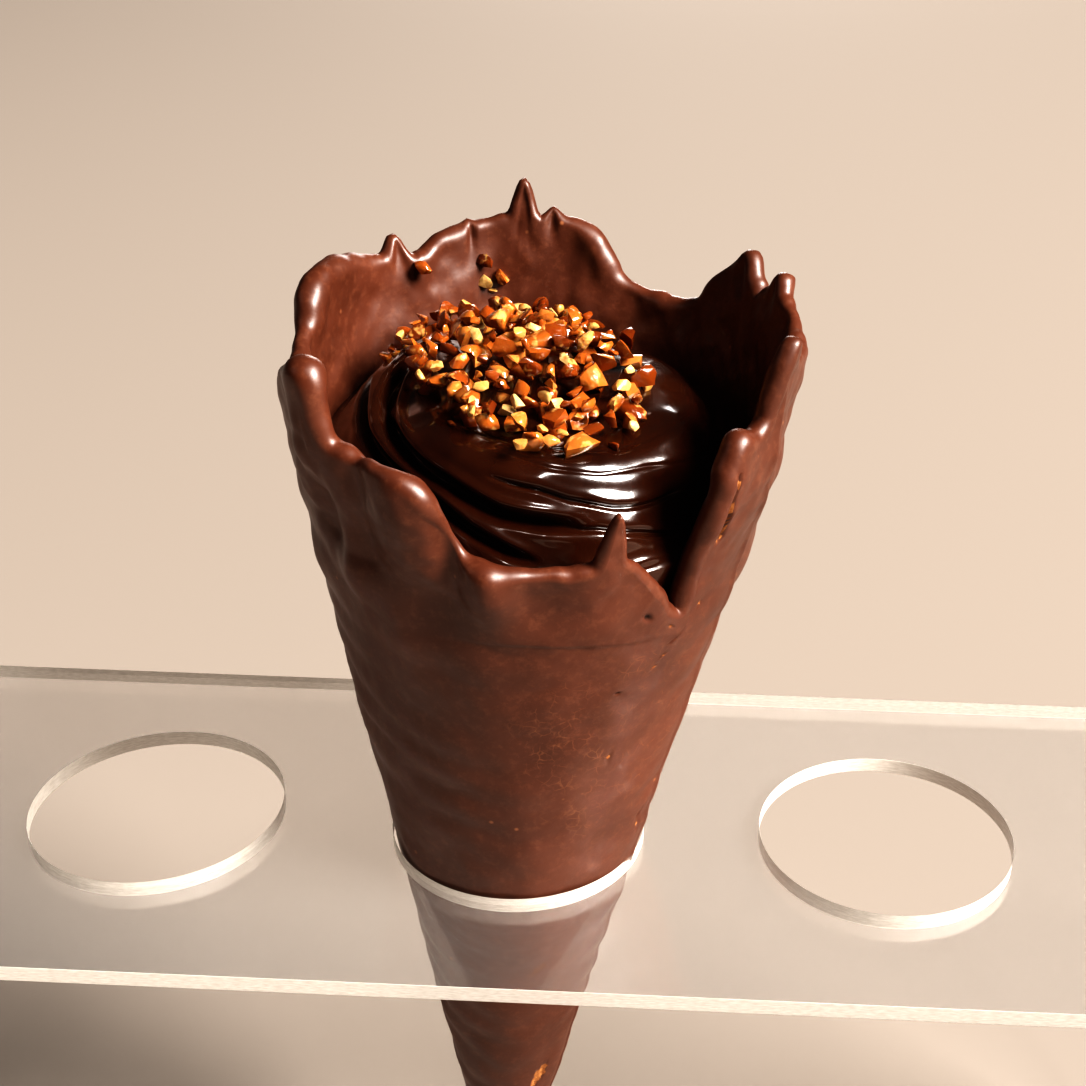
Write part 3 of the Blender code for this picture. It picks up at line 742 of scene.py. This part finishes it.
def stacked_rounds(angle):
    """The piped rounds from the middle out to the wall, smoothed: distances from the axis and the point."""
    crests = [(0.4 * mm + 0 * angle, along(peak) + 0 * angle)]
    for radii, heights in ridges:
        crests.append((round_the_cone(radii, angle) * mm, along(round_the_cone(heights, angle))))
    level_wall = along(round_the_cone(wall_line, angle))
    crests.append((wall_at(angle, level_wall, wall) + wetting, level_wall))
    rows = []
    for (r0, s0), (r1, s1) in zip(crests, crests[1:]):
        for step in range(ridge_steps):
            rows.append((r0 + (r1 - r0) * step / ridge_steps, s0 + (s1 - s0) * step / ridge_steps))
    rows.append(crests[-1])
    radius = np.array([row[0] for row in rows])
    level = np.array([row[1] for row in rows])
    for _ in range(2 * ridge_steps):
        radius[1:-1] = (radius[:-2] + 2 * radius[1:-1] + radius[2:]) / 4
        level[1:-1] = (level[:-2] + 2 * level[1:-1] + level[2:]) / 4
    return radius, level


def crease_lift(angle, radius, level, lift):
    """The lift of the rounds' surface, with the creases and the swells beside them added."""
    steps = np.hypot(np.diff(radius, axis=0), np.diff(level, axis=0))
    run = np.concatenate((np.zeros((1, swirl_columns)), np.cumsum(steps, axis=0)))
    column = np.arange(swirl_columns)
    for number, (stations, taper, depth, half, swell) in enumerate(creases):
        at, ridge = np.array(stations, float).T
        turn = at[0] + (angle - at[0]) % 360
        share = soft_step(turn, at[0], at[0] + taper) * (1 - soft_step(turn, at[-1] - taper, at[-1]))
        row, part = np.divmod(np.interp(turn, at, ridge) * ridge_steps, 1)
        row = row.astype(int)
        middle = run[row, column] * (1 - part) + run[row + 1, column] * part
        wander = 0.2 * mm * uneven(around(angle, 18 * mm, 0.0), 14 * mm, 30 + number)
        apart = (run - middle - wander) / mm
        lift = lift + mm * share * (swell * np.exp(-((apart + half + 0.55) / 0.65) ** 2)
                                    - depth * np.exp(-(apart / half) ** 2)
                                    + 0.5 * swell * np.exp(-((apart - half - 0.65) / 0.7) ** 2))
    return lift


def swirl_grid():
    """The swirl's top from near its middle out to the wall, as a grid of rings."""
    angle = all_round(swirl_columns)
    radius, level = stacked_rounds(angle)
    out_r, out_s = -np.gradient(level, axis=0), np.gradient(radius, axis=0)
    size = np.hypot(out_r, out_s)
    out_r, out_s = out_r / size, out_s / size
    where = around(angle[None, :], radius, level)
    lift = 0.26 * mm * uneven(where * (1, 1, 0.7), 12 * mm, 22) + 0.04 * mm * uneven(where, 3.5 * mm, 24)
    lift = crease_lift(angle, radius, level, lift)
    inside = wall_at(angle[None, :], level, wall) - radius
    lift = lift * soft_step(radius, 6 * mm, 12 * mm) * soft_step(inside, 0, 0.8 * mm)
    radius, level = radius + lift * out_r, level + lift * out_s
    radius = np.minimum(radius, wall_at(angle[None, :], level, wall) + most_wetting)
    points = around(angle[None, :], radius, level)
    points[..., 2] += points[..., 0] * math.tan(lean)
    return points


fudge_browns = ((0.3, (0.021, 0.0058, 0.0025)), (0.7, (0.044, 0.0125, 0.0048)))


def glossy_brigadeiro():
    """Dark, buttery and wet-looking, with a faint unevenness in its gloss."""
    made, tree, shader = new_finish("brigadeiro")
    where = places(tree)
    streaks = blotches(tree, where, 300, 3.0)
    set_inputs(shader, {"Base Color": ramp(tree, blotches(tree, where, 90, 4.0), fudge_browns),
                        "Roughness": ramp(tree, streaks, ((0.3, 0.13), (0.7, 0.24))),
                        "Normal": raise_surface(tree, streaks, 0.10, 0.4 * mm),
                        "Coat Weight": 0.6, "Coat Roughness": 0.08, "Subsurface Weight": 0.10,
                        "Subsurface Radius": (1.2 * mm, 0.5 * mm, 0.2 * mm)})
    return made


def make_filling():
    """The swirl's top, and under it a plain body down inside the cone."""
    angle = all_round(swirl_columns)
    body = [around(angle, wall_at(angle, level, wall) - clear_below, level)
            for level in np.linspace(body_top, body_foot, body_rings)]
    filling = skin("brigadeiro_swirl", np.concatenate((swirl_grid(), np.array(body))))
    filling.data.transform(cone_place)
    filling.data.materials.append(glossy_brigadeiro())
    return filling


brigadeiro_swirl = make_filling()
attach(brigadeiro_swirl, "root")
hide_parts("brigadeiro_filling")


# ---- Chopped caramel nuts ---------------------------------------------------
# Peanuts roasted in caramel and chopped, so that amber glaze and pale broken faces show side by side. They
# lie heaped in an oval patch on the swirl, sunk in a little, and a few cling to the crown inside.

patch_centre = (-3.6 * mm, 2.1 * mm)
patch_radii = (20.5 * mm, 11.6 * mm)
patch_angle = math.radians(123.5)
nut_reach = 22.3 * mm  # no nut reaches further than this from the axis
nut_count = 1050
nut_seed = 11
largest_nut, size_drop = 4.8, 3.4  # in mm: from the first nut to the last one
large_from = 2.8 * mm
pale_of_large, pale_of_small = 0.10, 0.22
heap_middle, heap_drop = 5.0, 3.0  # in mm: the heap's height in its middle, and how much less at its end
sunk, packing, stacking = 0.15, 0.40, 0.72
# The nuts that cling to the crown: (angle, height above the plate, size in mm, whether its flesh shows).
wall_nuts = (
    (130.0, 63.2, 3.0, False), (109.6, 62.6, 2.8, False), (104.4, 61.2, 2.9, False),
    (110.0, 60.4, 2.6, True), (107.4, 59.4, 1.6, True))


def chopped_nut(size, draw):
    """A rough chunk with broken faces and worn corners, about its own middle."""
    shape = bmesh.new()
    for _ in range(draw.randint(9, 13)):
        way = Vector((draw.gauss(0, 1), draw.gauss(0, 1), draw.gauss(0, 1))).normalized()
        shape.verts.new(way * draw.uniform(0.40, 0.56))
    hull = bmesh.ops.convex_hull(shape, input=shape.verts)
    loose = [item for item in hull["geom_interior"] if isinstance(item, bmesh.types.BMVert)]
    bmesh.ops.delete(shape, geom=loose, context="VERTS")
    bmesh.ops.subdivide_edges(shape, edges=list(shape.edges), cuts=1, use_grid_fill=True)
    bmesh.ops.smooth_vert(shape, verts=list(shape.verts), factor=0.35,
                          use_axis_x=True, use_axis_y=True, use_axis_z=True)
    for vert in shape.verts:
        vert.co *= 1.08 + draw.uniform(-0.07, 0.07)
    bmesh.ops.triangulate(shape, faces=shape.faces)
    stretch = Vector((1.0, draw.uniform(0.6, 0.95), draw.uniform(0.55, 0.9))) * size
    spin = Matrix.Rotation(draw.uniform(0, 2 * math.pi), 3, "Z")
    spin = spin @ Matrix.Rotation(draw.uniform(-1.2, 1.2), 3, "X")
    for vert in shape.verts:
        vert.co = spin @ Vector((vert.co.x * stretch.x, vert.co.y * stretch.y, vert.co.z * stretch.z))
    return shape


def join_chunks(name, chunks, finish, piece_tints):
    """All chunks as one mesh, each with its own tint number for the finish to vary by."""
    verts, faces, tints = [], [], []
    for (shape, place), tint in zip(chunks, piece_tints):
        start = len(verts)
        shape.verts.index_update()
        verts += [vert.co + place for vert in shape.verts]
        faces += [[start + vert.index for vert in face.verts] for face in shape.faces]
        tints += [tint] * len(shape.verts)
        shape.free()
    mesh = bpy.data.meshes.new(name)
    mesh.from_pydata([tuple(vert) for vert in verts], [], faces)
    mesh.attributes.new("chunk_tint", "FLOAT", "POINT").data.foreach_set("value", tints)
    mesh.shade_smooth()
    mesh.set_sharp_from_angle(angle=math.radians(50))
    mesh.materials.append(finish)
    return put_in_scene(name, mesh)


# The caramel from thick and dark to thin, the nut's flesh, and each where it breaks through the other.
caramel_ambers = ((0.0, (0.16, 0.036, 0.007)), (0.4, (0.32, 0.085, 0.015)), (0.8, (0.47, 0.155, 0.030)),
                  (1.0, (0.58, 0.260, 0.075)))
flesh_yellows = ((0.0, (0.54, 0.28, 0.085)), (0.6, (0.68, 0.42, 0.15)), (1.0, (0.76, 0.54, 0.25)))
bare_flesh, thin_caramel = (0.74, 0.45, 0.17), (0.55, 0.20, 0.03)


def nut_finish(name, colours, spot_colour, spot_size, spot_share, grain_size, grain_strength):
    """Its colours by each chunk's tint, with spots of another, under a fine grain."""
    made, tree, shader = new_finish(name)
    where = places(tree)
    tinted = ramp(tree, marked(tree, "chunk_tint"), colours)
    spots = ramp(tree, blotches(tree, where, spot_size, 3.0, 0.6), spot_share)
    grain = raise_surface(tree, blotches(tree, where, grain_size, 3.0), grain_strength, 0.3 * mm)
    set_inputs(shader, {"Base Color": blend_colours(tree, spots, tinted, spot_colour), "Normal": grain})
    return made, shader


def caramel_glaze():
    """Hard amber caramel over a chunk, thick here and thin there."""
    made, shader = nut_finish("caramel_nut", caramel_ambers, bare_flesh, 420, ((0.58, 0.0), (0.66, 0.9)),
                              1500, 0.35)
    set_inputs(shader, {"Roughness": 0.16, "Coat Weight": 0.8, "Coat Roughness": 0.05,
                        "Subsurface Weight": 0.35, "Subsurface Radius": (1.5 * mm, 0.5 * mm, 0.1 * mm)})
    return made


def pale_nut_flesh():
    """A chunk's broken flesh, with smears of caramel."""
    made, shader = nut_finish("pale_nut", flesh_yellows, thin_caramel, 380, ((0.60, 0.0), (0.67, 0.85)),
                              1700, 0.4)
    set_inputs(shader, {"Roughness": 0.36, "Coat Weight": 0.3, "Coat Roughness": 0.15,
                        "Subsurface Weight": 0.3, "Subsurface Radius": (1.2 * mm, 0.7 * mm, 0.3 * mm)})
    return made


def scatter_nuts(draw):
    """Places and sizes of chunks: the largest first, each dropped onto the swirl or the ones below it."""
    swirl = BVHTree.FromObject(brigadeiro_swirl, bpy.context.evaluated_depsgraph_get())
    placed = []
    for number in range(nut_count):
        size = (largest_nut - size_drop * (number / nut_count) ** 0.34) * mm
        for _ in range(30):
            far, turn = draw.random() ** 0.6, draw.uniform(0, 2 * math.pi)
            far *= 1 + 0.08 * math.sin(3 * turn + 0.6) + 0.06 * math.sin(7 * turn + 2.0)
            u, v = patch_radii[0] * far * math.cos(turn), patch_radii[1] * far * math.sin(turn)
            x = patch_centre[0] + u * math.cos(patch_angle) - v * math.sin(patch_angle)
            y = patch_centre[1] + u * math.sin(patch_angle) + v * math.cos(patch_angle)
            if math.hypot(x, y) < nut_reach - size / 2:
                break
        drop = cone_place @ Vector((x, y, along(peak) + 20 * mm))
        top = swirl.ray_cast(drop, Vector((0, 0, -1)))[0]
        height = top.z + sunk * size
        for place, other in placed:
            apart = math.hypot(place.x - top.x, place.y - top.y)
            reach = packing * (size + other)
            if apart < reach:
                height = max(height, place.z + stacking * math.sqrt(reach * reach - apart * apart))
        off_middle = math.hypot(x - patch_centre[0], y - patch_centre[1]) / patch_radii[0]
        if height <= top.z + (heap_middle - heap_drop * off_middle) * mm:
            placed.append((Vector((top.x, top.y, height)), size))
    return placed


def make_nuts():
    """The glazed chunks as one piece and the pale ones as another."""
    draw = random.Random(nut_seed)
    stuck = [(place, size, None) for place, size in scatter_nuts(draw)]
    for angle, height, size, bare in wall_nuts:
        level = along(height)
        reach = wall_at(angle, level, wall) - 0.24 * size * mm
        stuck.append((cone_place @ Vector(around(np.array(angle), reach, level)), size * mm, bare))
    glazed, pale = [], []
    for place, size, bare in stuck:
        by_chance = draw.random() < (pale_of_large if size > large_from else pale_of_small)
        group = pale if (by_chance if bare is None else bare) else glazed
        group.append((chopped_nut(size, draw), place))
    return (join_chunks("caramel_nuts", glazed, caramel_glaze(), [draw.random() for _ in glazed]),
            join_chunks("pale_nuts", pale, pale_nut_flesh(), [draw.random() for _ in pale]))


for nuts in make_nuts():
    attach(nuts, "root")


# ---- The floor, the light and the camera ------------------------------------
# A plain pale table, a large soft window far off to the right, a small one high in front, and weak fills
# from the left and from behind, in a dim room with pale walls.

table_reach = 4  # metres, each way
table_grey = (0.33, 0.283, 0.246, 1)
daylight, soft_white = (1.0, 0.97, 0.93), (1.0, 0.98, 0.96)
wall_grey = (0.50, 0.44, 0.39, 1)
room_glow = 0.035
camera_place = (0.01864, -0.1584, 0.1203)  # from the middle of the plate's top face
camera_turn, camera_tilt, camera_roll = -2.0, 27.36, 1.12
lens_mm, sensor_mm, frame_shift = 52.8, 36, (-0.0807, 0.0016)


def make_floor():
    corners = [(x * table_reach, y * table_reach, 0) for x, y in ((-1, -1), (1, -1), (1, 1), (-1, 1))]
    mesh = bpy.data.meshes.new("table_top")
    mesh.from_pydata(corners, [], [(0, 1, 2, 3)])
    made, _, shader = new_finish("pale_table")
    set_inputs(shader, {"Base Color": table_grey, "Roughness": 0.9, "Specular IOR Level": 0.1})
    mesh.materials.append(made)
    put_in_scene("table_top", mesh)


def soft_light(name, turn, rise, far, size, power, colour=(1, 1, 1)):
    """A lit disc facing the cone: its turn to the right of the front and its rise above level in degrees,
    how far off and how wide it is in metres, and its power in watts."""
    lamp = bpy.data.lights.new(name, "AREA")
    lamp.shape, lamp.size, lamp.energy, lamp.color = "DISK", size, power, colour
    turn, rise = math.radians(turn), math.radians(rise)
    away = Vector((math.sin(turn) * math.cos(rise), -math.cos(turn) * math.cos(rise), math.sin(rise)))
    made = put_in_scene(name, lamp)
    made.location = Vector((0, 0, 0.10)) + away * far
    made.rotation_euler = away.to_track_quat("Z", "Y").to_euler()


def make_camera():
    """Close, in front and above, looking down into the cone."""
    yaw, pitch, roll = (math.radians(angle) for angle in (camera_turn, camera_tilt, camera_roll))
    ahead = Vector((math.sin(yaw) * math.cos(pitch), math.cos(yaw) * math.cos(pitch), -math.sin(pitch)))
    right = Vector((math.cos(yaw), -math.sin(yaw), 0))
    up = right.cross(ahead)
    across = right * math.cos(roll) + up * math.sin(roll)
    upright = up * math.cos(roll) - right * math.sin(roll)
    turn = Matrix((across, upright, -ahead)).transposed().to_4x4()
    turn.translation = Vector(camera_place) + Vector((0, 0, stand_high.z))
    lens = bpy.data.cameras.new("camera")
    lens.lens, lens.sensor_width = lens_mm, sensor_mm
    lens.shift_x, lens.shift_y = frame_shift
    lens.clip_start = 0.01
    made = put_in_scene("camera", lens)
    made.matrix_world = turn
    bpy.context.scene.camera = made


def make_room():
    """Pale where it is looked at, though it lights the cone only dimly."""
    world = bpy.data.worlds.new("room")
    world.use_nodes = True
    tree, dim = world.node_tree, world.node_tree.nodes["Background"]
    set_inputs(dim, {"Color": (*daylight, 1), "Strength": room_glow})
    pale = add_node(tree, "ShaderNodeBackground")
    set_inputs(pale, {"Color": wall_grey})
    seen = add_node(tree, "ShaderNodeLightPath").outputs["Is Camera Ray"]
    both = add_node(tree, "ShaderNodeMixShader", {0: seen, 1: dim.outputs[0], 2: pale.outputs[0]})
    set_inputs(tree.nodes["World Output"], {"Surface": both.outputs[0]})
    bpy.context.scene.world = world
    tones = bpy.context.scene.view_settings
    tones.view_transform, tones.look = "Standard", "Very High Contrast"


make_floor()
soft_light("window", turn=68, rise=40, far=5.0, size=2.4, power=580, colour=daylight)
soft_light("second_window", turn=24, rise=58, far=3.0, size=0.28, power=7, colour=soft_white)
soft_light("fill", turn=-75, rise=35, far=1.6, size=0.8, power=0.6)
soft_light("back_fill", turn=180, rise=9, far=2.5, size=0.9, power=12, colour=soft_white)
make_camera()
make_room()
